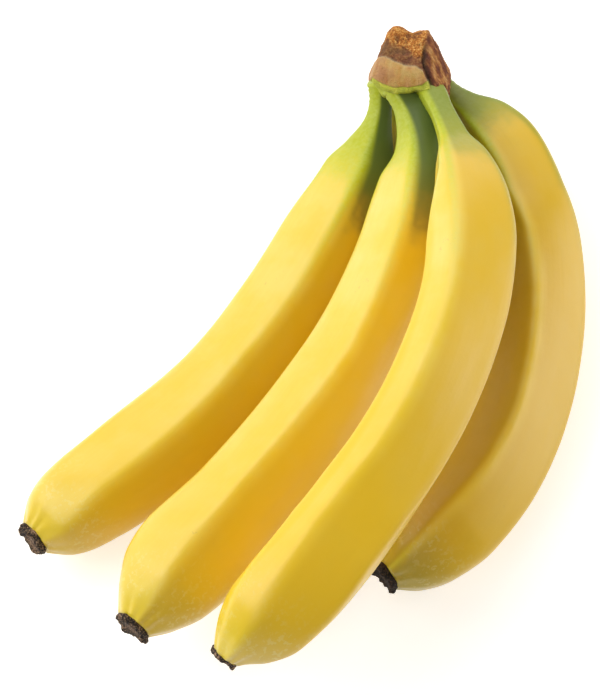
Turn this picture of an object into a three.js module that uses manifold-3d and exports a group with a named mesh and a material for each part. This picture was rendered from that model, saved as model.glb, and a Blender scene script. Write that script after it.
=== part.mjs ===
// Bunch of five bananas on one cut crown, lying on a table with the crown away from the viewer.
// Millimetres, +Z up, +X to the right, +Y towards the crown. The origin is on the table, under
// the middle of the bunch. A finger and its green stalk are one solid, and a dry blossom tip
// closes its far end. Three fingers form the upper row and two the lower one.
import * as THREE from "three";
import { mergeVertices } from "three/addons/utils/BufferGeometryUtils.js";
import Module from "manifold-3d";

const wasm = await Module();
wasm.setup();

// Driving dimensions
const GAP = 0.3; // clearance between pieces that touch
const TABLE_HEIGHT = 1.0; // peel that would reach lower is pressed flat by the table
const REFERENCE_LEAN = 25; // degrees that the ridges' reference direction leans from +Z to -Y
const SOCKET_DEPTH = 3; // how far each stalk is sunk into the crown
const SIDES_PER_FACET = 4;
const FACET_CRISPNESS = 9; // higher is a sharper ridge
const RIDGE_SHARE = 0.55; // 0 is a round finger and 1 a plain five-sided one
const TIP_LENGTH = 2.4;
const TIP_SIDES = 15;
const TIP_SHARES = [0, 0.98, 1.04, 0.96, 0.72, 0.35, 0]; // of the finger's end radius
const TIP_HEIGHTS = [0, 0, 0.3, 0.75, 1, 0.85, 0.8]; // of the tip's length, row for row
const TIP_OVAL = 0.05; // how far the tip's outline swells and narrows twice round
const TIP_LOBES = { count: 5, height: 0.04 };
const CROWN_SIDES = 40;
const CROWN_RINGS = 24;
const CROWN_CRISPNESS = 16;
const MERGE_DISTANCE = 1e-4;

// Stations along a finger's middle line, from 0 at the stalk's cut end to 1 at the outer face of
// the blossom tip. The peel ends at FINGER_END. A finger's shares are its radius at
// PROFILE_STATIONS, as shares of its full radius.
const FINGER_END = 0.984;
const PROFILE_STATIONS = [
  0, 0.03, 0.06, 0.115, 0.17, 0.245, 0.32, 0.5, 0.75, 0.85, 0.91, 0.95, FINGER_END,
];
const RING_STATIONS = [
  0, 0.02, 0.04, 0.06, 0.085, 0.11, 0.135, 0.16, 0.19, 0.22, 0.26, 0.31, 0.37, 0.43, 0.5, 0.57,
  0.64, 0.71, 0.77, 0.82, 0.86, 0.89, 0.915, 0.935, 0.955, 0.972, FINGER_END,
];

// The fingers. line holds the control points of the middle line from stalk to tip, and ridges
// the ridge angles in degrees round it, from the reference direction towards +X.
const FINGERS = [
  {
    name: "upper_left",
    radius: 17,
    line: [
      [28.5, 99.6, 35.8], [37.5, 82.5, 15], [-5.5, 39, 12.5],
      [-14.5, -24, 16], [-50, -30.5, 19.5], [-92, -69, 21],
    ],
    shares: [0.22, 0.23, 0.27, 0.51, 0.8, 0.91, 0.955, 0.955, 1.04, 0.99, 0.89, 0.73, 0.38],
    ridges: [-3, 66, 138, 210, 286],
  },
  {
    name: "upper_middle",
    radius: 17.3,
    line: [
      [34.5, 95, 41], [59.5, 68, 32], [31, 23, 33],
      [16.5, -34.5, 35], [-21.5, -58, 36.5], [-56.5, -107, 38],
    ],
    shares: [0.24, 0.26, 0.335, 0.5, 0.77, 0.88, 0.9, 0.93, 0.96, 1.04, 0.94, 0.71, 0.38],
    ridges: [-14, 58, 132, 206, 280],
  },
  {
    name: "upper_right",
    radius: 15.8,
    line: [
      [46, 94, 43], [72.5, 19.5, 69], [58, -26.5, 75.5],
      [22, -90, 71], [-16.5, -110, 62], [-25.5, -121.5, 50],
    ],
    shares: [0.37, 0.34, 0.31, 0.37, 0.65, 0.89, 0.99, 1, 1.005, 1.025, 0.95, 0.72, 0.33],
    ridges: [-23, 57, 130, 205, 298],
  },
  {
    name: "lower_right",
    radius: 17.7,
    line: [
      [51, 104, 27], [81, 77, 26.5], [82.5, 79.5, 21.5],
      [90, 14, 18.5], [86.5, -40, 18], [26.5, -80.5, 18],
    ],
    shares: [0.32, 0.3, 0.37, 0.68, 0.83, 0.88, 0.94, 0.99, 1.01, 1.02, 0.9, 0.69, 0.36],
    ridges: [-8, 64, 136, 208, 280],
  },
  {
    name: "lower_middle",
    radius: 11.7,
    line: [
      [37, 105, 27], [25, 93, 12], [51, 73.5, 8.5],
      [82.5, 46.5, 11.5], [38, -8, 14.5], [18.5, -42.5, 13],
    ],
    shares: [0.4, 0.41, 0.45, 0.56, 0.74, 0.88, 0.95, 1, 0.98, 0.93, 0.84, 0.68, 0.4],
    ridges: [0, 72, 144, 216, 288],
  },
];

// The crown is a soft-edged block bounded by flat cuts. Each cut has a direction (right, along
// the crown away from the fingers, out towards the viewer) and a distance from the crown's middle.
const CROWN_MIDDLE = [38.5, 105, 38.5];
const CROWN_CUTS = [
  { direction: [0.05, -1, 0.1], distance: 8 },
  { direction: [-0.08, 1, 0.1], distance: 14.8 },
  { direction: [-0.92, 0.38, 0.05], distance: 12.3 },
  { direction: [-1, -0.05, 0], distance: 14.5 },
  { direction: [-0.7, -0.7, 0], distance: 13.5 },
  { direction: [0.88, 0.46, 0.1], distance: 13.2 },
  { direction: [1, -0.05, 0.1], distance: 15 },
  { direction: [-0.2, 0.45, 0.87], distance: 13 },
  { direction: [-0.2, -0.05, 0.97], distance: 15.5 },
  { direction: [0.5, 0.25, 0.8], distance: 15.2 },
  { direction: [0, 0.35, -0.94], distance: 13 },
  { direction: [0.2, -0.1, -0.97], distance: 16 },
];

const PEEL = { color: "#e8c93c", roughness: 0.45, metalness: 0 };
const DRY_TIP = { color: "#3a2a1e", roughness: 0.9, metalness: 0 };
const CROWN_SKIN = { color: "#8a5a34", roughness: 0.85, metalness: 0 };

const RIDGE_COUNT = FINGERS[0].ridges.length;
const lean = THREE.MathUtils.degToRad(REFERENCE_LEAN);
const OUT = new THREE.Vector3(0, -Math.sin(lean), Math.cos(lean));
const ALONG = new THREE.Vector3(0, Math.cos(lean), Math.sin(lean));
const RIGHT = new THREE.Vector3(1, 0, 0);

// A smooth curve drawn by any number of control points: each one's weight at t is its share of
// the binomial expansion of (t + (1 - t)) to the power of the last index.
class ControlledCurve extends THREE.Curve {
  constructor(points) {
    super();
    this.points = points.map((point) => new THREE.Vector3(...point));
    this.arcLengthDivisions = 400;
  }

  getPoint(t, target = new THREE.Vector3()) {
    const last = this.points.length - 1;
    let weight = 1;
    target.set(0, 0, 0);
    for (let index = 0; index <= last; index += 1) {
      const share = weight * t ** index * (1 - t) ** (last - index);
      target.addScaledVector(this.points[index], share);
      weight = (weight * (last - index)) / (index + 1);
    }
    return target;
  }
}

// A smooth curve through stations and values, read at any station.
function readProfile(stations, values, station) {
  let k = 0;
  while (k < stations.length - 2 && station > stations[k + 1]) {
    k += 1;
  }
  const slope = (index) => {
    if (index === 0 || index === stations.length - 1) {
      const near = index === 0 ? 0 : index - 1;
      return (values[near + 1] - values[near]) / (stations[near + 1] - stations[near]);
    }
    const before = (values[index] - values[index - 1]) / (stations[index] - stations[index - 1]);
    const after = (values[index + 1] - values[index]) / (stations[index + 1] - stations[index]);
    return before * after > 0 ? (2 * before * after) / (before + after) : 0;
  };
  const span = stations[k + 1] - stations[k];
  const t = (station - stations[k]) / span;
  const rise = 2 * t ** 3 - 3 * t ** 2 + 1;
  const start = (t ** 3 - 2 * t ** 2 + t) * span * slope(k);
  const end = (t ** 3 - t ** 2) * span * slope(k + 1);
  return rise * values[k] + start + (1 - rise) * values[k + 1] + end;
}

// The ridge that follows one round a finger, in degrees, past a full turn after the last one.
function nextRidge(ridges, index) {
  return index + 1 < ridges.length ? ridges[index + 1] : ridges[0] + 360;
}

// Angles round a finger, in radians: SIDES_PER_FACET equal steps from each ridge to the next.
function sectionAngles(ridges) {
  const angles = [];
  ridges.forEach((ridge, index) => {
    const width = nextRidge(ridges, index) - ridge;
    for (let step = 0; step < SIDES_PER_FACET; step += 1) {
      angles.push(THREE.MathUtils.degToRad(ridge + (width * step) / SIDES_PER_FACET));
    }
  });
  return angles;
}

// Share of the radius at each angle: a soft-edged polygon whose corners are the ridges, mixed
// with a plain circle and scaled so that its area is that of the circle.
function sectionShares(ridges, angles) {
  const facets = ridges.map((ridge, index) => {
    const next = nextRidge(ridges, index);
    const half = THREE.MathUtils.degToRad((next - ridge) / 2);
    const middle = THREE.MathUtils.degToRad((next + ridge) / 2);
    return { middle, distance: Math.cos(half) / Math.cos(Math.PI / RIDGE_COUNT) };
  });
  const polygon = angles.map((angle) => {
    const pulls = facets.map(({ middle, distance }) => {
      const facing = Math.max(0, Math.cos(angle - middle));
      return (facing / distance) ** FACET_CRISPNESS;
    });
    return pulls.reduce((sum, pull) => sum + pull, 0) ** (-1 / FACET_CRISPNESS);
  });
  const squares = polygon.reduce((sum, value) => sum + value ** 2, 0);
  const mean = Math.sqrt(squares / polygon.length);
  return polygon.map((value) => 1 + RIDGE_SHARE * (value / mean - 1));
}

// The middle point and the three directions of a section at a station along a curve.
function sectionFrame(curve, station) {
  const middle = curve.getPointAt(station);
  const forward = curve.getTangentAt(station);
  const out = OUT.clone().addScaledVector(forward, -OUT.dot(forward)).normalize();
  const side = new THREE.Vector3().crossVectors(out, forward);
  return { middle, forward, out, side };
}

// A closed lathe of the given profile, each of whose points is then put where place says.
// The profile's points are (share of the radius, row number).
function placedLathe(shares, sides, place) {
  const profile = shares.map((share, row) => new THREE.Vector2(share, row));
  const lathe = new THREE.LatheGeometry(profile, sides);
  const position = lathe.attributes.position;
  for (let index = 0; index < position.count; index += 1) {
    const turn = (sides - Math.floor(index / shares.length)) % sides;
    const row = index % shares.length;
    const point = place(turn, row);
    position.setXYZ(index, point.x, point.y, point.z);
  }
  lathe.deleteAttribute("normal");
  lathe.deleteAttribute("uv");
  return mergeVertices(lathe, MERGE_DISTANCE);
}

function fingerCurve(finger) {
  const curve = new ControlledCurve(finger.line);
  const [root, next] = curve.points;
  root.addScaledVector(next.clone().sub(root).normalize(), -SOCKET_DEPTH);
  return curve;
}

// A finger with its stalk. grow makes it larger all round, for its socket in the crown.
function fingerGeometry(finger, grow = 0) {
  const curve = fingerCurve(finger);
  const shares = RING_STATIONS.map((station) => readProfile(PROFILE_STATIONS, finger.shares, station));
  const radii = shares.map((share) => finger.radius * share + grow);
  const frames = RING_STATIONS.map((station) => sectionFrame(curve, station));
  frames[0].middle.addScaledVector(frames[0].forward, -grow);
  const angles = sectionAngles(finger.ridges);
  const section = sectionShares(finger.ridges, angles);
  const lastRing = RING_STATIONS.length - 1;
  const rows = [0, ...radii, 0];
  return placedLathe(rows, angles.length, (turn, row) => {
    const ring = THREE.MathUtils.clamp(row - 1, 0, lastRing);
    const { middle, out, side } = frames[ring];
    const reach = rows[row] * section[turn];
    const point = middle.clone();
    point.addScaledVector(out, reach * Math.cos(angles[turn]));
    point.addScaledVector(side, reach * Math.sin(angles[turn]));
    point.z = Math.max(point.z, TABLE_HEIGHT);
    return point;
  });
}

// The dry scar of the flower: a short plug with an uneven outline and a sunken middle.
function tipGeometry(finger) {
  const curve = fingerCurve(finger);
  const { middle, forward, out, side } = sectionFrame(curve, FINGER_END);
  const endRadius = finger.radius * finger.shares[finger.shares.length - 1];
  return placedLathe(TIP_SHARES, TIP_SIDES, (turn, row) => {
    const angle = (turn / TIP_SIDES) * 2 * Math.PI;
    const oval = TIP_OVAL * Math.sin(2 * angle + finger.radius);
    const lobes = TIP_LOBES.height * Math.sin(TIP_LOBES.count * angle);
    const uneven = 1 + (oval + lobes) * TIP_SHARES[row];
    const reach = endRadius * TIP_SHARES[row] * uneven;
    const point = middle.clone();
    point.addScaledVector(forward, GAP + TIP_LENGTH * TIP_HEIGHTS[row] * uneven);
    point.addScaledVector(out, reach * Math.cos(angle));
    point.addScaledVector(side, reach * Math.sin(angle));
    return point;
  });
}

// The crown before the sockets: a sphere whose every point moves out to the soft-edged block.
function crownBlock() {
  const middle = new THREE.Vector3(...CROWN_MIDDLE);
  const cuts = CROWN_CUTS.map(({ direction, distance }) => ({
    direction: new THREE.Vector3(...direction).normalize(),
    distance,
  }));
  const sphere = new THREE.SphereGeometry(1, CROWN_SIDES, CROWN_RINGS);
  const position = sphere.attributes.position;
  const ray = new THREE.Vector3();
  for (let index = 0; index < position.count; index += 1) {
    ray.fromBufferAttribute(position, index).normalize();
    const pulls = cuts.map((cut) => {
      const facing = Math.max(0, cut.direction.dot(ray));
      return (facing / cut.distance) ** CROWN_CRISPNESS;
    });
    const reach = pulls.reduce((sum, pull) => sum + pull, 0) ** (-1 / CROWN_CRISPNESS);
    const point = middle.clone();
    point.addScaledVector(RIGHT, ray.x * reach);
    point.addScaledVector(ALONG, ray.y * reach);
    point.addScaledVector(OUT, ray.z * reach);
    position.setXYZ(index, point.x, point.y, point.z);
  }
  sphere.deleteAttribute("normal");
  sphere.deleteAttribute("uv");
  return mergeVertices(sphere, MERGE_DISTANCE);
}

function toSolid(geometry) {
  const vertProperties = new Float32Array(geometry.attributes.position.array);
  const triVerts = new Uint32Array(geometry.index.array);
  return new wasm.Manifold(new wasm.Mesh({ numProp: 3, vertProperties, triVerts }));
}

function toGeometry(solid) {
  const { vertProperties, triVerts } = solid.getMesh();
  const geometry = new THREE.BufferGeometry();
  geometry.setAttribute("position", new THREE.BufferAttribute(vertProperties, 3));
  geometry.setIndex(new THREE.BufferAttribute(triVerts, 1));
  return geometry;
}

function crownGeometry() {
  let solid = toSolid(crownBlock());
  FINGERS.forEach((finger) => {
    solid = solid.subtract(toSolid(fingerGeometry(finger, GAP)));
  });
  return toGeometry(solid);
}

function namedMesh(name, geometry, finish) {
  geometry.computeVertexNormals();
  const mesh = new THREE.Mesh(geometry, new THREE.MeshStandardMaterial(finish));
  mesh.name = name;
  return mesh;
}

const bunch = new THREE.Group();
bunch.add(namedMesh("crown", crownGeometry(), CROWN_SKIN));
FINGERS.forEach((finger) => {
  bunch.add(namedMesh(`banana_${finger.name}`, fingerGeometry(finger), PEEL));
  bunch.add(namedMesh(`blossom_tip_${finger.name}`, tipGeometry(finger), DRY_TIP));
});

// The origin moves to the table, under the middle of the bunch.
const extent = new THREE.Box3().setFromObject(bunch);
const centre = extent.getCenter(new THREE.Vector3());
bunch.position.set(-centre.x, -centre.y, -extent.min.z);

export default bunch;
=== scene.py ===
"""A bunch of five bananas lying on a pale floor, seen from above at the photograph's angle.

Shapes are worked out in millimetres in the part's own frame, then moved to the table frame and
made metres. Each finger, blossom tip and the crown takes the place of its own solid.
"""
import math

import bpy
import numpy as np
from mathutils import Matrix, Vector


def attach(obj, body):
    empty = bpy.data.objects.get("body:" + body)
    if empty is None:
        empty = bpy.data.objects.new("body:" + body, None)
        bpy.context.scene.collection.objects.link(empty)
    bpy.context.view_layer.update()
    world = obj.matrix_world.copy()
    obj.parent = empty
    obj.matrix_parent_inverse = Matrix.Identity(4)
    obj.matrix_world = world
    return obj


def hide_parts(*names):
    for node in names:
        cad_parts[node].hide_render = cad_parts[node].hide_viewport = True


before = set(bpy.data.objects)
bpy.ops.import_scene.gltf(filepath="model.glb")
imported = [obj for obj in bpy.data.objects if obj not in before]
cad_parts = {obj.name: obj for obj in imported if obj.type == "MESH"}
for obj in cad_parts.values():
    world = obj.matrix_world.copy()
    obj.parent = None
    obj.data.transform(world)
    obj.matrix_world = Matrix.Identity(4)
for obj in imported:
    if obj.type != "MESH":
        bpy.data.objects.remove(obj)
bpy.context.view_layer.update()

MM = 0.001
PHOTO_HEIGHT = 695

# The part's own frame to the table frame, in millimetres
TABLE_SHIFT = np.array([-1.982, 0.947, -1.0])
TABLE_HEIGHT = 1.0

# The viewer's directions: right, along the image towards its top, and out towards the viewer
CAMERA_ELEVATION = math.radians(65)
CAMERA_DISTANCE = 1.0
CAMERA_TARGET = np.array([0.0, 0.0, 30.0])
FOCAL_PIXELS = 2900
SENSOR_HEIGHT = 36.0
RIGHT = np.array([1.0, 0.0, 0.0])
ALONG = np.array([0.0, math.sin(CAMERA_ELEVATION), math.cos(CAMERA_ELEVATION)])
OUT = np.array([0.0, -math.cos(CAMERA_ELEVATION), math.sin(CAMERA_ELEVATION)])

# Fingers. A station is a share of a finger's length, from its socket in the crown to its end.
# Angles round a finger are in degrees: 0 faces the viewer and 90 the image's right. For each:
#   radius, line, shares  the thickness, the middle line's control points and the shares of the
#                         radius at PROFILE_STATIONS, as in the part's solids
#   ridges                angles of the five ridges
#   turn, own_turn        further degrees at stations, for all ridges and for single ones
#   green                 stations where green starts to fade and is gone, on the front and flank
#   tip_green, dark       how green the tip is, and how dark green the right flank is: partly its
#                         own green and partly painted shade
#   left_shade            how much painted shade there is: ochre on the left side, near black on
#                         the scar
#   painted_bounce        how much painted bounce light, a deep yellow, lies on the lowest left strip
#   angular               how much of RIDGE_SHARES the finger has
#   webs                  fuller or slimmer places: station, spread, angle and height
FINGER_END = 0.984
SOCKET_DEPTH = 3.0
PROFILE_STATIONS = [
    0, 0.03, 0.06, 0.115, 0.17, 0.245, 0.32, 0.5, 0.75, 0.85, 0.91, 0.95, FINGER_END,
]
FINGERS = {
    "upper_left": dict(
        radius=17,
        line=[[28.5, 99.6, 35.8], [37.5, 82.5, 15], [-5.5, 39, 12.5],
              [-14.5, -24, 16], [-50, -30.5, 19.5], [-92, -69, 21]],
        shares=[0.22, 0.23, 0.27, 0.51, 0.8, 0.91, 0.955, 0.955, 1.04, 0.99, 0.89, 0.73, 0.38],
        ridges=[-3, 66, 138, 210, 286],
        turn=[(0.07, -6), (0.15, 1), (0.4, 3), (0.49, 0),
              (0.56, -4), (0.78, -2), (0.88, 2), (0.98, 20)],
        own_turn={},
        green=((0.02, 0.28), (0.05, 0.36)), tip_green=0.3, dark=1, left_shade=0, painted_bounce=0,
        angular=0.78, webs=[(0.2, 0.05, -90, -0.9), (0.93, 0.05, -75, 1.2)],
        seed=3,
    ),
    "upper_middle": dict(
        radius=17.3,
        line=[[34.5, 95, 41], [59.5, 68, 32], [31, 23, 33],
              [16.5, -34.5, 35], [-21.5, -58, 36.5], [-56.5, -107, 38]],
        shares=[0.24, 0.26, 0.335, 0.5, 0.77, 0.88, 0.9, 0.93, 0.96, 1.04, 0.94, 0.71, 0.38],
        ridges=[-14, 58, 132, 206, 280],
        turn=[(0.1, 0), (0.2, -2), (0.38, 1), (0.49, 5),
              (0.61, -2), (0.75, -5), (0.88, 0), (0.98, 6)],
        own_turn={},
        green=((0.02, 0.24), (0.08, 0.37)), tip_green=0.4, dark=1, left_shade=0, painted_bounce=0,
        angular=0.85, webs=[(0.045, 0.035, 80, 1.9), (0.9, 0.06, -80, 1.4)],
        seed=11,
    ),
    "upper_right": dict(
        radius=15.8,
        line=[[46, 94, 43], [72.5, 19.5, 69], [58, -26.5, 75.5],
              [22, -90, 71], [-16.5, -110, 62], [-25.5, -121.5, 50]],
        shares=[0.37, 0.34, 0.31, 0.37, 0.65, 0.89, 0.99, 1, 1.005, 1.025, 0.95, 0.72, 0.33],
        ridges=[-23, 57, 130, 205, 298],
        turn=[(0.2, 3), (0.58, 0), (0.67, -4), (0.72, -9),
              (0.79, -9), (0.88, 3), (0.93, 14), (0.97, 24)],
        own_turn={4: [(0.2, 24), (0.28, 8), (0.34, 0)]},
        green=((0.03, 0.19), (0.03, 0.25)), tip_green=0.5, dark=0.55, left_shade=0, painted_bounce=1,
        angular=1, webs=[(0.21, 0.1, -85, 2.2), (0.92, 0.06, -80, 1.6), (0.83, 0.1, 85, 1)],
        seed=23,
    ),
    "lower_right": dict(
        radius=17.7,
        line=[[51, 104, 27], [81, 77, 26.5], [82.5, 79.5, 21.5],
              [90, 14, 18.5], [86.5, -40, 18], [26.5, -80.5, 18]],
        shares=[0.32, 0.3, 0.37, 0.68, 0.83, 0.88, 0.94, 0.99, 1.01, 1.02, 0.9, 0.69, 0.36],
        ridges=[-8, 64, 136, 208, 280],
        turn=[(0.26, -12), (0.34, -1), (0.45, 3), (0.66, 3), (0.77, -2), (0.88, -9)],
        own_turn={},
        green=((0.04, 0.2), (0.02, 0.2)), tip_green=1, dark=0.6, left_shade=0.6, painted_bounce=0,
        angular=0.9, webs=[],
        seed=37,
    ),
    "lower_middle": dict(
        radius=11.7,
        line=[[37, 105, 27], [25, 93, 12], [51, 73.5, 8.5],
              [82.5, 46.5, 11.5], [38, -8, 14.5], [18.5, -42.5, 13]],
        shares=[0.4, 0.41, 0.45, 0.56, 0.74, 0.88, 0.95, 1, 0.98, 0.93, 0.84, 0.68, 0.4],
        ridges=[0, 72, 144, 216, 288],
        turn=[(0.0, 0), (1.0, 10)],
        own_turn={},
        green=((0.0, 0.14), (0.0, 0.16)), tip_green=0.8, dark=0.5, left_shade=0.2, painted_bounce=0,
        angular=0.9, webs=[],
        seed=41,
    ),
}
COLUMNS_PER_FACET = 32
FINGER_ROWS = 260

# Along a finger: how angular its section is, where 0 is round and 1 a plain polygon, and the
# power that its facets' pulls are summed to, where a higher one makes crisper ridges
RIDGE_SHARES = [(0.0, 0.5), (0.1, 0.85), (0.2, 0.9), (0.8, 0.9), (0.92, 0.7), (FINGER_END, 0.35)]
RIDGE_CRISPNESS = [(0.0, 8), (0.15, 16), (0.8, 16), (1.0, 9)]

# Relief on the peel, in millimetres. A stretch is how much finer noise is drawn each way, so a
# small last number draws it out along the finger.
SWELL_HEIGHT = 0.45
SWELL_SIZE = 15
SWELL_STRETCH = [1, 1, 0.45]
ROUGH_HEIGHT = 0.07
ROUGH_SIZE = 3.5
ROUGH_STRETCH = [1, 1, 0.3]
WRINKLE_HEIGHT = 0.28
WRINKLE_PITCH = 2.3
WRINKLE_REACH = 7
PUCKER_HEIGHT = 0.22
PUCKER_COUNT = 11
PUCKER_WANDER = 2
PUCKER_SIZE = 6
PUCKER_START = 0.93
WEB_WIDTH_DEGREES = 38
RIDGE_LINE_DEGREES = 7

# Blossom tips: shares of the radius and of the length, on the way from the peel over the rim to
# the sunken heart
TIP_ROWS = 34
TIP_COLUMNS = 96
TIP_SHARES = [0, 0.9, 1.02, 1.03, 0.98, 0.84, 0.6, 0.3, 0]
TIP_HEIGHTS = [-0.15, -0.15, 0.1, 0.45, 0.85, 1.0, 0.82, 0.7, 0.66]
TIP_LENGTH = 2.3
TIP_TEAR_SIZE = 2.6
TIP_RIM_PLACE = 0.6
TIP_RIM_WIDTH = 0.16
TIP_POINT_TURN = 3.9
TIP_POINT_WIDTH = 0.32
TIP_SEED = 100

# The crown: cuts as (right, along, out) directions and distances from its middle. The first cut
# lies 2.2 mm lower than the solid's, which leaves the green pad under the band.
CROWN_MIDDLE = np.array([38.5, 105.0, 38.5])
CROWN_CUTS = [
    ((0.05, -1, 0.1), 10.2),
    ((-0.08, 1, 0.1), 14.8),
    ((-0.92, 0.38, 0.05), 12.3),
    ((-1, -0.05, 0), 14.5),
    ((-0.7, -0.7, 0), 13.5),
    ((0.88, 0.46, 0.1), 13.2),
    ((1, -0.05, 0.1), 15),
    ((-0.2, 0.45, 0.87), 13),
    ((-0.2, -0.05, 0.97), 15.5),
    ((0.5, 0.25, 0.8), 15.2),
    ((0, 0.35, -0.94), 13),
    ((0.2, -0.1, -0.97), 16),
]
CROWN_CRISPNESS = 26
CROWN_COLUMNS = 340
CROWN_ROWS = 240

# Lines drawn on the crown's front, as (right, along) in millimetres from its middle. The crease
# is (along, right), as it runs down the front.
BAND_TOP = [
    (-14, 4.8), (-11.7, 4.6), (-8.8, 4.3), (-5.6, 2.6), (-2, 1), (2.2, 0.3), (4.8, -1.5), (6.2, -5),
]
BAND_BOTTOM = [
    (-14, -3.4), (-13.1, -4), (-9.9, -5.6), (-5.6, -7.1), (-0.6, -7.3), (4.4, -6.5), (6.2, -5.1),
]
CREASE = [(-9.0, 9.0), (-3.4, 7.0), (1.6, 5.6), (7.3, 5.9), (14.6, 6.8)]
CREASE_WIDTH = 0.8
CREASE_DEPTH = 1.0

# How far out the green pad's front is, as (right, out) in millimetres, over what height it is
# drawn in to that, and the two notches between the stalks
STUB_FRONT = [(-14, 4), (-10, 6.5), (-7, 10), (-4, 13.4), (0, 13.8), (4, 15), (7.5, 16), (12, 15)]
STUB_HEIGHT = 2.9
NOTCHES = [-7.0, 2.2]
NOTCH_WIDTH = 1.3
NOTCH_DEPTH = 0.8
NOTCH_RISE = 0.4

# Relief on the crown, in millimetres
KNOB_PLACE = -3.9
KNOB_WIDTH = 2.9
KNOB_HEIGHT = 2.4
DIP_PLACE = 2.5
DIP_WIDTH = 2.2
DIP_SHARE = 0.35
BAND_EDGE = 0.1
BAND_BULGE = 0.5
CUT_DEPTH = 0.8
GRAIN_HEIGHT = 0.45
FIBRE_HEIGHT = 0.5
PAD_DEPTH = 0.4
LEFT_END_TRIM = 0.9
SEAM_WIDTH = 0.5
FIBRE_DIRECTION = np.array([0.5, -0.8, 0.3])
FIBRE_STRETCH = 0.85


# Numbers and curves

def smooth_step(low, high, value):
    """0 below low, 1 above high, and 3t^2 - 2t^3 between them."""
    t = np.clip((value - low) / (high - low), 0, 1)
    return t * t * (3 - 2 * t)


def hill(value, middle, width):
    """e to the minus square of the distance from the middle in widths: 1 there, 0 far off."""
    return np.exp(-((value - middle) / width) ** 2)


def wrapped(angles):
    """Angles in radians brought to between minus half a turn and half a turn."""
    return np.angle(np.exp(1j * angles))


def through_points(pairs, at):
    """Straight lines through (place, value) pairs, read at each place."""
    places, values = zip(*pairs)
    return np.interp(at, places, values)


def smooth_profile(stations, values, at):
    """Cubic curve through the values. The slope at a station is the harmonic mean of its two
    neighbouring slopes, or 0 where they differ in sign, so that nothing overshoots."""
    stations = np.asarray(stations, float)
    values = np.asarray(values, float)
    slopes = np.diff(values) / np.diff(stations)
    before, after = slopes[:-1], slopes[1:]
    same = before * after > 0
    inner = np.where(same, 2 * before * after / np.where(same, before + after, 1), 0)
    tangents = np.concatenate([[slopes[0]], inner, [slopes[-1]]])
    k = np.clip(np.searchsorted(stations, at) - 1, 0, len(stations) - 2)
    span = stations[k + 1] - stations[k]
    t = (at - stations[k]) / span
    rise = 2 * t ** 3 - 3 * t ** 2 + 1
    start = (t ** 3 - 2 * t ** 2 + t) * span * tangents[k]
    end = (t ** 3 - t ** 2) * span * tangents[k + 1]
    return rise * values[k] + start + (1 - rise) * values[k + 1] + end


def lattice_noise(points, cell, seed):
    """A random number from -1 to 1 at each corner of a cubic lattice of that cell size, blended
    smoothly between the eight corners round each point. The lattice repeats after 32 cells."""
    size = 32
    table = np.random.default_rng(seed).uniform(-1, 1, (size, size, size))
    place = points / cell
    corner = np.floor(place).astype(int)
    t = place - corner
    t = t * t * (3 - 2 * t)
    total = 0
    for step in np.ndindex(2, 2, 2):
        at = (corner + step) % size
        weight = np.prod(np.where(step, t, 1 - t), axis=-1)
        total = total + weight * table[at[..., 0], at[..., 1], at[..., 2]]
    return total


def layered_noise(points, cell, layers, seed):
    """Sum of lattice noises, each with half the cell and half the height of the one before."""
    return sum(lattice_noise(points, cell / 2 ** n, seed + n) / 2 ** n for n in range(layers))


def unit(vectors):
    """The vectors made one long."""
    return vectors / np.linalg.norm(vectors, axis=-1, keepdims=True)


def middle_line(points, stations):
    """Points and directions at shares of the length of the curve that the control points draw,
    and that length. Each point weighs in by its share of the binomial expansion of
    (t + (1 - t)), and the first is moved back into its socket."""
    points = np.asarray(points, float).copy()
    points[0] -= SOCKET_DEPTH * unit(points[1] - points[0])
    last = len(points) - 1

    def blend(control, degree, t):
        index = np.arange(degree + 1)
        choose = np.array([math.comb(degree, i) for i in index])
        weights = choose * t[:, None] ** index * (1 - t[:, None]) ** (degree - index)
        return weights @ control

    t = np.linspace(0, 1, 2001)
    steps = np.linalg.norm(np.diff(blend(points, last, t), axis=0), axis=1)
    lengths = np.concatenate([[0], np.cumsum(steps)])
    t_at = np.interp(stations * lengths[-1], lengths, t)
    directions = unit(blend(np.diff(points, axis=0), last - 1, t_at))
    return blend(points, last, t_at), directions, lengths[-1]


def section_frames(directions):
    """The two directions across each section: out, as near to the viewer's as it can be, and
    side, to its right."""
    out = unit(OUT - directions * (directions @ OUT)[:, None])
    return out, np.cross(out, directions)


# Meshes

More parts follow.
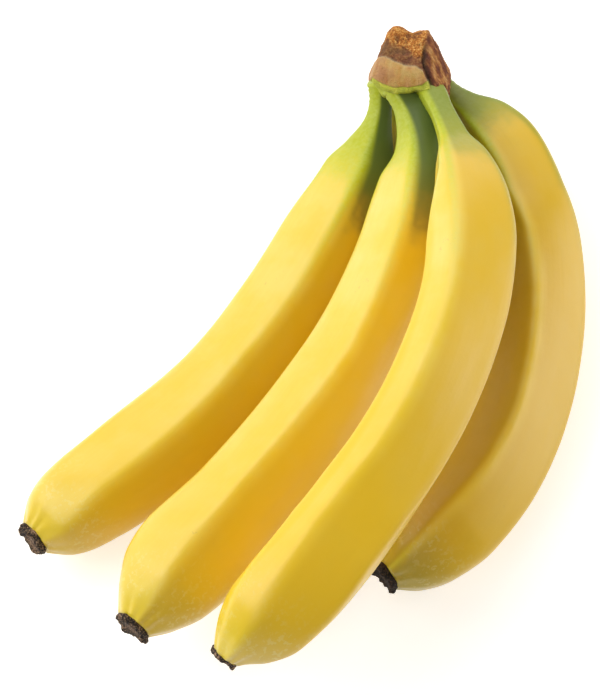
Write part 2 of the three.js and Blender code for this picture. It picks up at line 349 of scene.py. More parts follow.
def surface_piece(name, grid, material, values=None, vectors=None, node=None):
    """A closed surface from a grid of points in millimetres: rows run from one pole to the other
    and columns go round. The first and the last row are each one point. The UV map is (share of
    the way round, share of the rows). values and vectors are attributes on the same grid."""
    rows, columns = grid.shape[:2]
    ring = np.arange(rows - 2)[:, None] * columns + np.arange(columns)[None, :] + 1
    following = np.roll(ring, -1, axis=1)
    last = (rows - 2) * columns + 1
    quads = np.stack([ring[:-1], following[:-1], following[1:], ring[1:]], axis=-1).reshape(-1, 4)
    start_fan = np.stack([np.zeros(columns, int), following[0], ring[0]], axis=-1)
    end_fan = np.stack([np.full(columns, last), ring[-1], following[-1]], axis=-1)

    def flatten(field):
        inner = field[1:-1].reshape(-1, *field.shape[2:])
        return np.concatenate([field[:1, 0], inner, field[-1:, 0]])

    points = (flatten(grid) + TABLE_SHIFT) * MM
    mesh = bpy.data.meshes.new(name)
    mesh.from_pydata(points.tolist(), [], quads.tolist() + start_fan.tolist() + end_fan.tolist())
    mesh.polygons.foreach_set("use_smooth", np.ones(len(mesh.polygons), bool))

    wide, tall = 1 / columns, 1 / (rows - 1)
    left = np.broadcast_to(np.arange(columns) / columns, (rows - 3, columns))
    low = np.broadcast_to(np.arange(1, rows - 2)[:, None] / (rows - 1), (rows - 3, columns))
    right, high = left + wide, low + tall
    quad_uv = np.stack([left, low, right, low, right, high, left, high], axis=-1)
    turn = np.arange(columns) / columns
    flat = np.zeros(columns)
    start_uv = np.stack([turn, flat, turn + wide, flat + tall, turn, flat + tall], axis=-1)
    end_low = flat + 1 - tall
    end_uv = np.stack([turn, flat + 1, turn, end_low, turn + wide, end_low], axis=-1)
    uv = np.concatenate([quad_uv.ravel(), start_uv.ravel(), end_uv.ravel()])
    mesh.uv_layers.new(name="surface").data.foreach_set("uv", uv)

    for label, field in (values or {}).items():
        attribute = mesh.attributes.new(label, "FLOAT", "POINT")
        attribute.data.foreach_set("value", flatten(field).astype(np.float32))
    for label, field in (vectors or {}).items():
        attribute = mesh.attributes.new(label, "FLOAT_VECTOR", "POINT")
        attribute.data.foreach_set("vector", flatten(field).astype(np.float32).ravel())

    piece = bpy.data.objects.new(name, mesh)
    bpy.context.scene.collection.objects.link(piece)
    mesh.materials.append(material)
    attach(piece, "root")
    if node:
        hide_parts(node)
    return piece


# Fingers

def ridge_angles(finger, stations):
    """Ridge angles in degrees, a row for each station and a column for each ridge, with the first
    ridge again at the end, a full turn on."""
    shared_turn = through_points(finger["turn"], stations)[:, None]
    ridges = np.array(finger["ridges"], float) + shared_turn
    for index, pairs in finger["own_turn"].items():
        ridges[:, index] += through_points(pairs, stations)
    return np.concatenate([ridges, ridges[:, :1] + 360], axis=1)


def section_shares(ridges, angles, crispness):
    """Share of the radius at each angle: a polygon whose corners are the ridges, softened by
    summing its facets' pulls to a high power, and scaled to the area of the circle."""
    middle = np.radians((ridges[:, 1:] + ridges[:, :-1]) / 2)
    half = np.radians((ridges[:, 1:] - ridges[:, :-1]) / 2)
    distance = np.cos(half) / math.cos(math.pi / middle.shape[1])
    facing = np.maximum(0, np.cos(angles[:, :, None] - middle[:, None, :]))
    power = crispness[:, None]
    pull = np.sum((facing / distance[:, None, :]) ** power[:, :, None], axis=2)
    polygon = pull ** (-1 / power)
    return polygon / np.sqrt(np.mean(polygon ** 2, axis=1, keepdims=True))


def finger_reach(finger, radii, section, angles, straight, stations, length):
    """How far the peel is from the middle line: the radius times the section's share, with
    shallow swells over the belly, fine roughness, ring wrinkles that fade from the stalk's root,
    puckers at the tip, and the finger's own fuller or slimmer places, each a hill along it and
    round it."""
    seed = finger["seed"]
    belly = smooth_step(0.1, 0.25, stations)[:, None]
    swell = SWELL_HEIGHT * belly * lattice_noise(straight * SWELL_STRETCH, SWELL_SIZE, seed)
    rough = ROUGH_HEIGHT * lattice_noise(straight * ROUGH_STRETCH, ROUGH_SIZE, seed + 1)
    root = np.exp(-stations * length / WRINKLE_REACH)[:, None]
    rings = np.sin(2 * math.pi * stations * length / WRINKLE_PITCH)[:, None]
    wrinkle = WRINKLE_HEIGHT * root * rings
    tip = smooth_step(PUCKER_START, FINGER_END, stations)[:, None]
    wander = PUCKER_WANDER * lattice_noise(straight, PUCKER_SIZE, seed + 2)
    pucker = PUCKER_HEIGHT * tip * np.cos(PUCKER_COUNT * angles + wander)
    reach = radii[:, None] * section + swell + rough + wrinkle + pucker
    for station, spread, web_turn, height in finger["webs"]:
        along_web = hill(stations, station, spread)[:, None]
        off_web = np.degrees(wrapped(angles - math.radians(web_turn)))
        reach = reach + height * along_web * hill(off_web, 0, WEB_WIDTH_DEGREES)
    return reach


def finger_marks(finger, ridges, facet, share, angles, stations):
    """Masks for the peel's finish, each from 0 to 1: the way along the finger, the ridge lines,
    the flank right of the first ridge, unripe green, the flank's darker green, which is partly its
    own and partly painted shade, painted shade on the left side, painted bounce light on the
    lowest left strip, and the tint of the tip."""
    near_ridge = np.minimum(share, 1 - share) * (ridges[:, facet + 1] - ridges[:, facet])
    past_ridge = np.sin(angles - np.radians(ridges[:, :1]))
    right_flank = smooth_step(0.0, 0.3, past_ridge)
    left_facet = smooth_step(0.08, -0.12, past_ridge)
    front_green, flank_green = finger["green"]
    front = smooth_step(front_green[1], front_green[0], stations)[:, None]
    back = smooth_step(flank_green[1], flank_green[0], stations)[:, None]
    past_stalk = smooth_step(0.12, 0.25, stations)[:, None]
    far_half = smooth_step(0.5, 0.8, stations)[:, None]
    # Where painted bounce light goes: the lowest left strip past the stalk, and half as much all
    # round the far half
    lowest_left = smooth_step(-0.7, -0.85, np.sin(angles)) * past_stalk
    lowest_left = np.maximum(lowest_left, 0.5 * far_half)
    along = np.broadcast_to(stations[:, None], angles.shape)
    return {
        "along": along,
        "ridge": hill(near_ridge, 0, RIDGE_LINE_DEGREES),
        "flank": right_flank,
        "unripe": front + (back - front) * right_flank,
        # The right flank's darker green is partly its own and partly painted shade; the left side's
        # ochre is painted shade
        "dark": right_flank * finger["dark"],
        "left_shade": left_facet * finger["left_shade"],
        "painted_bounce": lowest_left * finger["painted_bounce"],
        "tip_green": smooth_step(0.88, 0.985, along) * finger["tip_green"],
    }


def finger_piece(name, finger, material):
    """A finger with its stalk: soft pentagons carried along the middle line. Column c of a facet
    lies at the same share of the way between its two ridges in every row. The relief is added to
    the radius, and the peel is pressed flat where it would go below the table."""
    stations = FINGER_END * np.linspace(0, 1, FINGER_ROWS)
    middle, forward, length = middle_line(finger["line"], stations)
    out, side = section_frames(forward)
    radii = finger["radius"] * smooth_profile(PROFILE_STATIONS, finger["shares"], stations)

    ridges = ridge_angles(finger, stations)
    share = np.tile(np.arange(COLUMNS_PER_FACET) / COLUMNS_PER_FACET, len(finger["ridges"]))
    facet = np.repeat(np.arange(len(finger["ridges"])), COLUMNS_PER_FACET)
    degrees = ridges[:, facet] + share * (ridges[:, facet + 1] - ridges[:, facet])
    angles = np.radians(degrees)
    polygon = section_shares(ridges, angles, through_points(RIDGE_CRISPNESS, stations))
    angular = finger["angular"] * through_points(RIDGE_SHARES, stations)[:, None]
    section = 1 + angular * (polygon - 1)
    straight = np.stack([
        radii[:, None] * np.cos(angles),
        radii[:, None] * np.sin(angles),
        np.broadcast_to((stations * length)[:, None], angles.shape),
    ], axis=-1)
    reach = finger_reach(finger, radii, section, angles, straight, stations, length)

    rings = middle[:, None, :] + reach[:, :, None] * (
        np.cos(angles)[:, :, None] * out[:, None, :] + np.sin(angles)[:, :, None] * side[:, None, :]
    )
    rings[..., 2] = np.maximum(rings[..., 2], TABLE_HEIGHT)
    start = np.broadcast_to(middle[0], (1, *rings.shape[1:]))
    end = np.broadcast_to(middle[-1], (1, *rings.shape[1:]))

    def with_ends(field):
        return np.concatenate([field[:1], field, field[-1:]])

    marks = finger_marks(finger, ridges, facet, share, angles, stations)
    return surface_piece(
        f"peel_{name}", np.concatenate([start, rings, end]), material,
        values={label: with_ends(field) for label, field in marks.items()},
        vectors={"straight": with_ends(straight)},
        node=f"banana_{name}",
    )


# Blossom tips

def tip_piece(name, finger, material):
    """The dry scar of the flower: a short plug with torn edges. Its outline and rim are ragged by
    layered noise, its end is sunken with a paler heart, and one side of the rim runs out into a
    small point."""
    middle, forward, _ = middle_line(finger["line"], np.array([FINGER_END, 1.0]))
    out, side = section_frames(forward)
    end_radius = finger["radius"] * finger["shares"][-1]
    share = np.linspace(0, 1, TIP_ROWS)
    knots = np.linspace(0, 1, len(TIP_SHARES))
    radii = smooth_profile(knots, TIP_SHARES, share)
    heights = smooth_profile(knots, TIP_HEIGHTS, share)
    turn = np.linspace(0, 2 * math.pi, TIP_COLUMNS, endpoint=False)[None, :]
    place = np.stack([
        radii[:, None] * np.cos(turn) * end_radius,
        radii[:, None] * np.sin(turn) * end_radius,
        np.broadcast_to(heights[:, None] * TIP_LENGTH, (TIP_ROWS, TIP_COLUMNS)),
    ], axis=-1)
    seed = finger["seed"] + TIP_SEED
    ragged = layered_noise(place, TIP_TEAR_SIZE, 3, seed)
    rim = hill(share, TIP_RIM_PLACE, TIP_RIM_WIDTH)[:, None]
    point_turn = TIP_POINT_TURN + 0.4 * math.sin(seed)
    point = hill(wrapped(turn - point_turn), 0, TIP_POINT_WIDTH)
    shape = 1 + 0.06 * np.sin(2 * turn + seed) + 0.05 * np.sin(5 * turn + seed)
    reach = end_radius * radii[:, None] * (0.9 * shape + 0.12 * ragged) + 0.5 * point * rim
    torn = rim * (0.7 * ragged + 0.7 * point)
    rise = TIP_LENGTH * heights[:, None] + torn + 0.25 * ragged * radii[:, None]
    grid = (
        middle[0]
        + rise[:, :, None] * forward[0]
        + (reach * np.cos(turn))[:, :, None] * out[0]
        + (reach * np.sin(turn))[:, :, None] * side[0]
    )
    heart = smooth_step(0.75, 0.95, share)[:, None] * np.ones_like(turn)
    # The black mask is painted shade on the scar, as strong as the finger's painted shade on its
    # left side
    return surface_piece(
        f"scar_{name}", grid, material,
        values={"heart": heart, "black": finger["left_shade"] * np.ones_like(heart)},
        node=f"blossom_tip_{name}",
    )


# Crown

def crown_piece(material):
    """The cut cushion that the stalks grow from. Each ray from its middle runs to the softened
    intersection of the flat cuts. The leathery band stands proud of the cut face above it, a
    crease runs down between the front and the right face, a knob stands at the top left with a
    dip beside it, and layered noise makes the cut faces granular and fibrous. Below the band a
    green pad is drawn in to the stalks' fronts, with two notches between them."""
    polar = np.linspace(0, math.pi, CROWN_ROWS)[:, None]
    turn = np.linspace(0, 2 * math.pi, CROWN_COLUMNS, endpoint=False)[None, :]
    rays = np.stack([
        np.sin(polar) * np.sin(turn),
        -np.cos(polar) * np.ones_like(turn),
        np.sin(polar) * np.cos(turn),
    ], axis=-1)
    directions = unit(np.array([cut for cut, _ in CROWN_CUTS], float))
    distances = np.array([distance for _, distance in CROWN_CUTS], float)
    pulls = (np.maximum(0, rays @ directions.T) / distances) ** CROWN_CRISPNESS
    reach = pulls.sum(axis=-1) ** (-1 / CROWN_CRISPNESS)
    base = rays * reach[..., None]
    across, up, depth = base[..., 0], base[..., 1], base[..., 2]

    # Where the right face, the band, the pad and the front cut lie, each from 0 to 1
    crease_at = through_points(CREASE, up)
    right_face = smooth_step(-0.6, 0.6, across - crease_at) * smooth_step(-8, -2, depth)
    right_face = np.maximum(right_face, smooth_step(9, 11, across))
    top = through_points(BAND_TOP, across) + 0.35 * lattice_noise(base, 3.5, 5)
    foot = through_points(BAND_BOTTOM, across) + 0.3 * lattice_noise(base, 2.5, 6)
    band = smooth_step(-0.35, 0.35, top - up) * smooth_step(-0.3, 0.3, up - foot) * (1 - right_face)
    pad = smooth_step(-0.3, 0.3, foot - up) * (1 - right_face)
    cut = (1 - band) * (1 - pad) * (1 - right_face)

    # Relief along the rays
    band_share = np.clip((up - foot) / (top - foot + 0.01), 0, 1)
    bulge = band * (BAND_EDGE + BAND_BULGE * np.sin(math.pi * band_share))
    crease = hill(across, crease_at, CREASE_WIDTH)
    crease = crease * smooth_step(-6, 0, depth) * smooth_step(12, 6, up)
    knob = hill(across, KNOB_PLACE, KNOB_WIDTH) * smooth_step(9, 14, up)
    knob = knob - DIP_SHARE * hill(across, DIP_PLACE, DIP_WIDTH) * smooth_step(11, 14, up)
    grain = layered_noise(base, 2.0, 4, 7)
    fibre_axis = unit(FIBRE_DIRECTION)
    slid = base - FIBRE_STRETCH * (base @ fibre_axis)[..., None] * fibre_axis
    fibres = layered_noise(slid, 1.3, 3, 9)
    front_relief = cut * (GRAIN_HEIGHT * grain - CUT_DEPTH)
    side_relief = right_face * (FIBRE_HEIGHT * fibres + 0.2 * grain)
    relief = front_relief + side_relief + band * 0.1 * grain
    reach = reach + relief + bulge - CREASE_DEPTH * crease + KNOB_HEIGHT * knob - PAD_DEPTH * pad
    reach = reach - LEFT_END_TRIM * smooth_step(-9, -13, across) * smooth_step(7, 4, up)

    # The pad's front and its notches
    local = rays * reach[..., None]
    past_front = np.maximum(0, local[..., 2] - through_points(STUB_FRONT, across))
    notch = sum(hill(across, place, NOTCH_WIDTH) for place in NOTCHES)
    notch = notch * smooth_step(-7.4, -9.6, up)
    drawn_in = past_front * smooth_step(0, STUB_HEIGHT, foot - up)
    local[..., 2] -= (drawn_in + NOTCH_DEPTH * notch) * (1 - right_face)
    local[..., 1] += NOTCH_RISE * notch * (1 - right_face)
    grid = CROWN_MIDDLE + local[..., :1] * RIGHT + local[..., 1:2] * ALONG + local[..., 2:] * OUT

    stain = smooth_step(8, 3, up + 0.6 * across + 1.5 * lattice_noise(base, 3, 15))
    mottle = 0.5 + 0.5 * layered_noise(base * [1, 0.35, 1], 1.6, 2, 17)
    return surface_piece(
        "crown_cushion", grid, material,
        values={
            "band": band, "side": right_face, "stub": pad, "crease": crease,
            "seam": hill(up, top, SEAM_WIDTH) * (1 - right_face),
            "relief": np.clip(0.5 + 0.5 * grain, 0, 1),
            "stain": stain, "mottle": np.clip(mottle, 0, 1),
            "left_end": smooth_step(-6, -12, across), "notch": np.clip(notch, 0, 1),
        },
        vectors={"fibre_place": slid},
        node="crown",
    )


# Shader tools

def colour(red, green, blue):
    """A colour as seen, 0 to 255 a channel, made linear."""
    seen = np.array([red, green, blue]) / 255
    linear = np.where(seen <= 0.04045, seen / 12.92, ((seen + 0.055) / 1.055) ** 2.4)
    return (*linear.tolist(), 1.0)


class Shader:
    """A material's or group's nodes, each added by one call that wires its inputs."""

    def __init__(self, tree):
        self.tree = tree

    def add(self, kind, settings=None, **inputs):
        node = self.tree.nodes.new(kind)
        for key, value in (settings or {}).items():
            setattr(node, key, value)
        for key, value in inputs.items():
            self.set(node, key.replace("_", " "), value)
        return node

    def set(self, node, key, value):
        """Wires a socket, or a plain value, to the input with that name or number."""
        socket = node.inputs[key]
        if isinstance(value, bpy.types.NodeSocket):
            self.tree.links.new(value, socket)
        else:
            socket.default_value = value

    def math(self, operation, *values):
        node = self.add("ShaderNodeMath", {"operation": operation})
        for index, value in enumerate(values):
            self.set(node, index, value)
        return node.outputs[0]

    def attribute(self, label, output="Fac"):
        return self.add("ShaderNodeAttribute", {"attribute_name": label}).outputs[output]

    def mix(self, factor, first, second):
        """The first colour at 0 and the second at 1. A colour mix node has them at 6 and 7."""
        node = self.add("ShaderNodeMix", {"data_type": "RGBA"})
        for key, value in ((0, factor), (6, first), (7, second)):
            self.set(node, key, value)
        return node.outputs[2]

    def tint(self, base, mask, strength, shade):
        """The base mixed towards the shade by the mask times the strength."""
        return self.mix(self.math("MULTIPLY", mask, strength), base, shade)

    def ramp(self, factor, stops):
        """A colour ramp through (place, colour) stops."""
        node = self.add("ShaderNodeValToRGB")
        elements = node.color_ramp.elements
        while len(elements) < len(stops):
            elements.new(0.5)
        for element, (place, value) in zip(elements, stops):
            element.position = place
            element.color = value
        self.tree.links.new(factor, node.inputs[0])
        return node.outputs[0]

    def rescale(self, value, low, high, new_low=0.0, new_high=1.0):
        """The value's way from low to high, smoothed, as a way from new_low to new_high."""
        node = self.add("ShaderNodeMapRange", {"interpolation_type": "SMOOTHSTEP"})
        for index, part in enumerate((value, low, high, new_low, new_high)):
            self.set(node, index, part)
        return node.outputs[0]

    def bump(self, height, strength, distance):
        node = self.add("ShaderNodeBump", Height=height, Strength=strength, Distance=distance)
        return node.outputs[0]


def grown_texture_group():
    """Marks that all three finishes share. From a place in millimetres it gives cloudy patches,
    small specks and fibres that run along the place's third axis, each from 0 to 1."""
    tree = bpy.data.node_groups.new("grown_texture", "ShaderNodeTree")
    for label, kind in (("Place", "NodeSocketVector"), ("Patch Size", "NodeSocketFloat"),
                        ("Speck Size", "NodeSocketFloat"), ("Fibre Width", "NodeSocketFloat")):
        tree.interface.new_socket(label, in_out="INPUT", socket_type=kind)
    for label in ("Patches", "Specks", "Fibres"):
        tree.interface.new_socket(label, in_out="OUTPUT", socket_type="NodeSocketFloat")
    nodes = Shader(tree)
    given = nodes.add("NodeGroupInput").outputs
    result = nodes.add("NodeGroupOutput")

    def noise(place, size, detail, roughness):
        scale = nodes.math("DIVIDE", 1.0, size)
        node = nodes.add(
            "ShaderNodeTexNoise", Vector=place, Scale=scale, Detail=detail, Roughness=roughness)
        return node.outputs[0]

    patches = noise(given["Place"], given["Patch Size"], 3.0, 0.55)
    specks = noise(given["Place"], given["Speck Size"], 2.0, 0.6)
    stretched = nodes.add("ShaderNodeMapping", Vector=given["Place"])
    stretched.inputs["Scale"].default_value = (1.0, 1.0, 0.06)
    fibres = noise(stretched.outputs[0], given["Fibre Width"], 3.0, 0.6)
    for label, value in (("Patches", patches), ("Specks", specks), ("Fibres", fibres)):
        nodes.set(result, label, nodes.rescale(value, 0.3, 0.7))
    return tree


def new_material(name):
    """An empty material with a shader: the material, its nodes and the shader's node."""
    material = bpy.data.materials.new(name)
    material.use_nodes = True
    material.node_tree.nodes.clear()
    nodes = Shader(material.node_tree)
    skin = nodes.add("ShaderNodeBsdfPrincipled")
    output = nodes.add("ShaderNodeOutputMaterial")
    nodes.tree.links.new(skin.outputs[0], output.inputs[0])
    return material, nodes, skin


def texture(nodes, group, place, patch, speck, fibre):
    """The shared marks at a place, with their sizes in millimetres."""
    node = nodes.add("ShaderNodeGroup", {"node_tree": group}, Place=place)
    node.inputs["Patch Size"].default_value = patch
    node.inputs["Speck Size"].default_value = speck
    node.inputs["Fibre Width"].default_value = fibre
    return node.outputs


def object_place(nodes):
    """Object coordinates in millimetres."""
    coordinates = nodes.add("ShaderNodeTexCoord").outputs["Object"]
    scaled = nodes.add("ShaderNodeVectorMath", {"operation": "SCALE"}, Vector=coordinates)
    scaled.inputs["Scale"].default_value = 1 / MM
    return scaled.outputs[0]


def peel_material(group):
    """Ripe peel: yellow with cloudy paler patches and faint fibres, deeper down the finger. Painted
    shade makes it a deeper orange on the right flank, and painted bounce light a deep yellow along
    the lowest left strip. It turns lime up the stalk, and dark green where the dark mask is, which
    is partly its own green and partly painted shade, with greener ridge lines near the stalk and a
    greenish tip, greyer on the flank side as painted shade. Painted shade makes the left side
    ochre.
    There are faint pale scuffs by the tip, a few freckles and a soft waxy gloss, which fades on
    green, flank, painted shade and painted bounce light."""
    material, nodes, skin = new_material("ripe_peel")
    marks = texture(nodes, group, nodes.attribute("straight", "Vector"), 16.0, 1.6, 1.4)
    along = nodes.attribute("along")
    flank = nodes.attribute("flank")
    painted_bounce = nodes.attribute("painted_bounce")
    left_shade = nodes.attribute("left_shade")

    # How unripe the peel is
    cloud = nodes.math("MULTIPLY_ADD", marks["Patches"], 0.16, -0.08)
    stalk = nodes.rescale(nodes.math("ADD", nodes.attribute("unripe"), cloud), -0.1, 1.1)
    line_strength = nodes.rescale(along, 0.1, 0.55, 0.32, 0.0)
    line = nodes.math("MULTIPLY", nodes.attribute("ridge"), line_strength)
    green = nodes.math("ADD", stalk, line)

    ripe = nodes.mix(marks["Patches"], colour(246, 212, 44), colour(250, 222, 96))
    ripe = nodes.tint(ripe, nodes.rescale(along, 0.3, 0.9), 0.55, colour(248, 204, 14))
    # Painted shade: a deeper orange on the right flank
    ripe = nodes.tint(ripe, flank, 0.75, colour(226, 180, 10))
    # Painted bounce light: a deep yellow on the lowest left strip
    ripe = nodes.tint(ripe, painted_bounce, 0.85, colour(250, 204, 0))
    # Greenish tip, darker and greyer on the flank side as painted shade
    near_tip = nodes.mix(flank, colour(206, 206, 40), colour(156, 152, 50))
    ripe = nodes.tint(ripe, nodes.attribute("tip_green"), 0.7, near_tip)
    ripe = nodes.tint(ripe, marks["Fibres"], 0.12, colour(236, 192, 20))

    lime = nodes.ramp(green, [
        (0.0, colour(236, 206, 26)), (0.3, colour(222, 208, 26)),
        (0.65, colour(196, 198, 20)), (1.0, colour(172, 184, 18)),
    ])
    lime = nodes.tint(lime, marks["Specks"], 0.25, colour(206, 214, 110))
    # The flank's green: partly its own darker green, partly painted shade
    shaded_green = nodes.ramp(green, [
        (0.0, colour(206, 166, 34)), (0.3, colour(160, 136, 44)),
        (0.65, colour(116, 120, 48)), (1.0, colour(94, 112, 52)),
    ])
    unripe = nodes.mix(nodes.attribute("dark"), lime, shaded_green)
    shown = nodes.mix(nodes.rescale(green, 0.0, 0.35), ripe, unripe)
    # Painted shade: ochre on the left side
    shown = nodes.mix(left_shade, shown, colour(180, 140, 16))

    scuff = nodes.rescale(marks["Specks"], 0.6, 0.95, 0.0, 0.35)
    scuff = nodes.math("MULTIPLY", scuff, marks["Patches"])
    scuff = nodes.math("MULTIPLY", scuff, nodes.rescale(along, 0.84, 0.95))
    shown = nodes.mix(scuff, shown, colour(246, 234, 150))
    freckle = nodes.math("MULTIPLY", marks["Specks"], marks["Patches"])
    freckle = nodes.rescale(freckle, 0.93, 1.0, 0.0, 0.2)
    shown = nodes.mix(freckle, shown, colour(176, 130, 50))

    # Less gloss where the peel is green, turned away, or under painted shade or painted bounce
    # light
    away = nodes.math("MULTIPLY", flank, 0.35)
    matt = nodes.math("MAXIMUM", away, nodes.math("MULTIPLY", left_shade, 1.2))
    matt = nodes.math("MAXIMUM", matt, nodes.math("MULTIPLY", painted_bounce, 0.6))
    gloss = nodes.math("SUBTRACT", nodes.rescale(green, 0.0, 0.7, 1.0, 0.15), matt)
    height = nodes.math("MULTIPLY_ADD", marks["Specks"], 0.5, marks["Fibres"])

    nodes.set(skin, "Base Color", shown)
    nodes.set(skin, "Roughness", nodes.math("MULTIPLY_ADD", marks["Fibres"], 0.08, 0.4))
    nodes.set(skin, "Normal", nodes.bump(height, 0.06, 0.0004))
    nodes.set(skin, "Coat Weight", nodes.math("MAXIMUM", gloss, 0.1))
    skin.inputs["Specular IOR Level"].default_value = 0.4
    skin.inputs["Coat Roughness"].default_value = 0.36
    skin.inputs["Coat IOR"].default_value = 1.5
    skin.inputs["Subsurface Weight"].default_value = 0.12
    skin.inputs["Subsurface Radius"].default_value = (0.7, 0.55, 0.2)
    skin.inputs["Subsurface Scale"].default_value = 0.003
    return material


def crown_material(group):
    """The cut cushion: orange-brown grain on the front cut with dark hollows and a dark stain
    over its lower left, slanting fibres on the right face, a tan leathery band with upright
    mottling, a redder left end and a pale lip, green below the band with painted shade darkening
    the notches between the stalks, and a near black crease."""
    material, nodes, skin = new_material("cut_crown")
    marks = texture(nodes, group, object_place(nodes), 5.0, 0.7, 0.9)
    fibres = texture(nodes, group, nodes.attribute("fibre_place", "Vector"), 2.2, 0.5, 0.6)
    band = nodes.attribute("band")

    grain = nodes.ramp(marks["Specks"], [
        (0.0, colour(160, 92, 34)), (0.4, colour(196, 120, 46)),
        (0.7, colour(218, 150, 68)), (1.0, colour(236, 184, 106)),
    ])
    hollow = nodes.rescale(nodes.attribute("relief"), 0.25, 0.6, 0.7, 0.0)
    front = nodes.mix(hollow, grain, colour(104, 56, 30))
    front = nodes.tint(front, nodes.attribute("stain"), 0.7, colour(106, 66, 52))
    patch = nodes.rescale(marks["Patches"], 0.6, 1.0, 0.0, 0.4)
    front = nodes.mix(patch, front, colour(128, 96, 52))

    side = nodes.ramp(fibres["Patches"], [
        (0.0, colour(92, 46, 30)), (0.35, colour(150, 90, 50)),
        (0.7, colour(196, 134, 70)), (1.0, colour(222, 170, 104)),
    ])
    side = nodes.tint(side, fibres["Fibres"], 0.45, colour(120, 66, 52))
    tan = nodes.ramp(marks["Patches"], [
        (0.0, colour(192, 154, 76)), (0.5, colour(200, 144, 70)), (1.0, colour(176, 112, 60)),
    ])
    tan = nodes.tint(tan, nodes.attribute("mottle"), 0.6, colour(220, 188, 124))
    tan = nodes.tint(tan, nodes.attribute("left_end"), 0.25, colour(182, 120, 104))
    stub = nodes.mix(marks["Patches"], colour(226, 226, 92), colour(186, 196, 70))
    # Painted shade in the notches between the stalks
    stub = nodes.tint(stub, nodes.attribute("notch"), 0.8, colour(84, 96, 40))

    shown = nodes.mix(nodes.attribute("side"), front, side)
    shown = nodes.mix(band, shown, tan)
    shown = nodes.mix(nodes.attribute("stub"), shown, stub)
    shown = nodes.tint(shown, nodes.attribute("seam"), 0.4, colour(216, 196, 150))
    shown = nodes.tint(shown, nodes.attribute("crease"), 0.85, colour(34, 20, 16))
    height = nodes.math("MULTIPLY_ADD", fibres["Specks"], 0.6, marks["Specks"])

    nodes.set(skin, "Base Color", shown)
    nodes.set(skin, "Roughness", nodes.math("MULTIPLY_ADD", band, -0.25, 0.9))
    nodes.set(skin, "Normal", nodes.bump(height, 0.6, 0.0005))
    return material


def scar_material(group):
    """Dry flower scar: near black with torn brown fibres and a paler pinkish heart, and darker
    still with painted shade where the black mask is."""
    material, nodes, skin = new_material("dry_scar")
    marks = texture(nodes, group, object_place(nodes), 2.4, 0.6, 0.5)
    dark = nodes.ramp(marks["Specks"], [
        (0.0, colour(20, 14, 10)), (0.5, colour(58, 44, 34)),
        (0.8, colour(104, 82, 60)), (1.0, colour(150, 124, 92)),
    ])
    pale = nodes.mix(marks["Specks"], colour(110, 78, 58), colour(206, 168, 136))
    torn = nodes.rescale(marks["Patches"], 0.5, 0.9, 0.0, 0.55)
    heart = nodes.math("MULTIPLY", nodes.attribute("heart"), 0.5)
    shown = nodes.mix(nodes.math("MAXIMUM", heart, torn), dark, pale)
    # Painted shade on the scar where the black mask is
    shown = nodes.tint(shown, nodes.attribute("black"), 1.4, colour(22, 15, 11))

    nodes.set(skin, "Base Color", shown)
    nodes.set(skin, "Roughness", nodes.math("MULTIPLY_ADD", marks["Patches"], 0.15, 0.8))
    nodes.set(skin, "Normal", nodes.bump(marks["Specks"], 0.8, 0.0005))
    return material


# Floor, lights and camera

FLOOR_SIZE = 6.0

# How brightly the floor glows where it is seen, and how much less it lights the fruit
FLOOR_GLOW = 0.52
FLOOR_GLOW_KEPT_BACK = 0.46

# Each light's direction as (right, along, out), size in metres, power in watts and colour
LIGHT_DISTANCE = 1.5
LIGHTS = {
    "key": ((-0.6, 0.35, 0.72), 1.0, 8, (1.0, 1.0, 0.98)),
    "left": ((-0.85, 0.5, 0.12), 1.6, 11, (1.0, 0.99, 0.98)),
    "right": ((0.96, 0.22, 0.1), 1.2, 14, (1.0, 0.94, 0.86)),
    "front": ((-0.3, -0.2, 0.93), 1.0, 4, (1.0, 1.0, 1.0)),
    "back": ((0.0, 0.97, 0.2), 1.4, 10, (1.0, 1.0, 1.0)),
}
STUDIO_COLOUR = (1.0, 0.99, 0.97, 1)
STUDIO_STRENGTH = 0.17


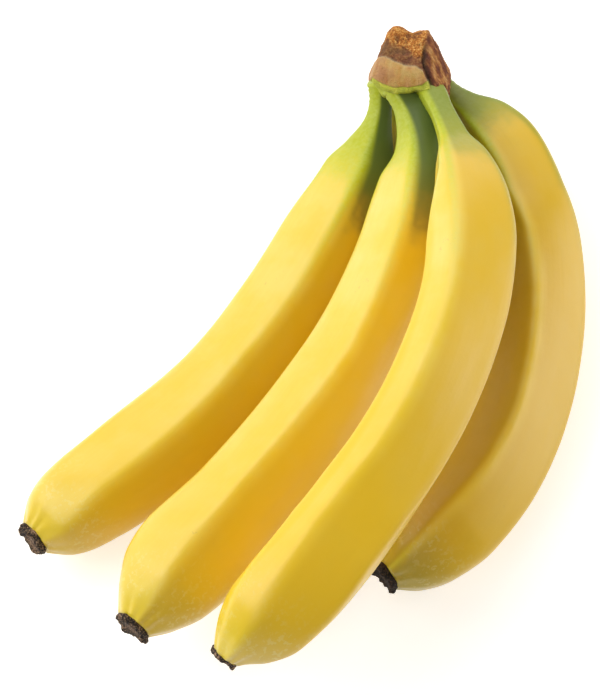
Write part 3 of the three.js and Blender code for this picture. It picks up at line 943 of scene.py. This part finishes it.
def make_floor():
    """A pale matt floor that shows as white and takes a faint soft shadow."""
    near, far = -FLOOR_SIZE / 2, FLOOR_SIZE / 2
    corners = [(near, near, 0), (far, near, 0), (far, far, 0), (near, far, 0)]
    mesh = bpy.data.meshes.new("floor")
    mesh.from_pydata(corners, [], [(0, 1, 2, 3)])
    floor = bpy.data.objects.new("floor", mesh)
    bpy.context.scene.collection.objects.link(floor)
    material, nodes, skin = new_material("pale_floor")
    skin.inputs["Base Color"].default_value = (0.9, 0.9, 0.9, 1)
    skin.inputs["Roughness"].default_value = 0.9
    skin.inputs["Specular IOR Level"].default_value = 0.1
    skin.inputs["Emission Color"].default_value = (1, 1, 1, 1)
    bounced = nodes.add("ShaderNodeLightPath").outputs["Is Diffuse Ray"]
    glow = nodes.math("MULTIPLY_ADD", bounced, -FLOOR_GLOW_KEPT_BACK, FLOOR_GLOW)
    nodes.set(skin, "Emission Strength", glow)
    mesh.materials.append(material)


def area_light(name, toward, size, power, tint):
    """A square soft light in a direction given as (right, along, out), aimed at the bunch."""
    data = bpy.data.lights.new(name, "AREA")
    data.size = size
    data.energy = power
    data.color = tint
    light = bpy.data.objects.new(name, data)
    bpy.context.scene.collection.objects.link(light)
    direction = unit(toward[0] * RIGHT + toward[1] * ALONG + toward[2] * OUT)
    target = (CAMERA_TARGET + TABLE_SHIFT) * MM
    light.location = target + LIGHT_DISTANCE * direction
    light.rotation_mode = "QUATERNION"
    light.rotation_quaternion = (light.location - Vector(target)).to_track_quat("Z", "Y")


def make_lights():
    """The lights, a dim even surround and plain colours."""
    for name, (toward, size, power, tint) in LIGHTS.items():
        area_light(name, toward, size, power, tint)
    world = bpy.data.worlds.new("studio")
    world.use_nodes = True
    background = world.node_tree.nodes["Background"]
    background.inputs[0].default_value = STUDIO_COLOUR
    background.inputs[1].default_value = STUDIO_STRENGTH
    bpy.context.scene.world = world
    bpy.context.scene.view_settings.view_transform = "Standard"


def make_camera():
    """The photograph's camera."""
    data = bpy.data.cameras.new("camera")
    data.sensor_fit = "VERTICAL"
    data.sensor_height = SENSOR_HEIGHT
    data.lens = FOCAL_PIXELS * SENSOR_HEIGHT / PHOTO_HEIGHT
    camera = bpy.data.objects.new("camera", data)
    bpy.context.scene.collection.objects.link(camera)
    camera.location = (CAMERA_TARGET + TABLE_SHIFT) * MM + CAMERA_DISTANCE * OUT
    camera.rotation_euler = (math.pi / 2 - CAMERA_ELEVATION, 0, 0)
    bpy.context.scene.camera = camera


make_camera()
make_lights()
make_floor()
grown_texture = grown_texture_group()
peel = peel_material(grown_texture)
scar = scar_material(grown_texture)
for finger_name, finger_shape in FINGERS.items():
    finger_piece(finger_name, finger_shape, peel)
    tip_piece(finger_name, finger_shape, scar)
crown_piece(crown_material(grown_texture))
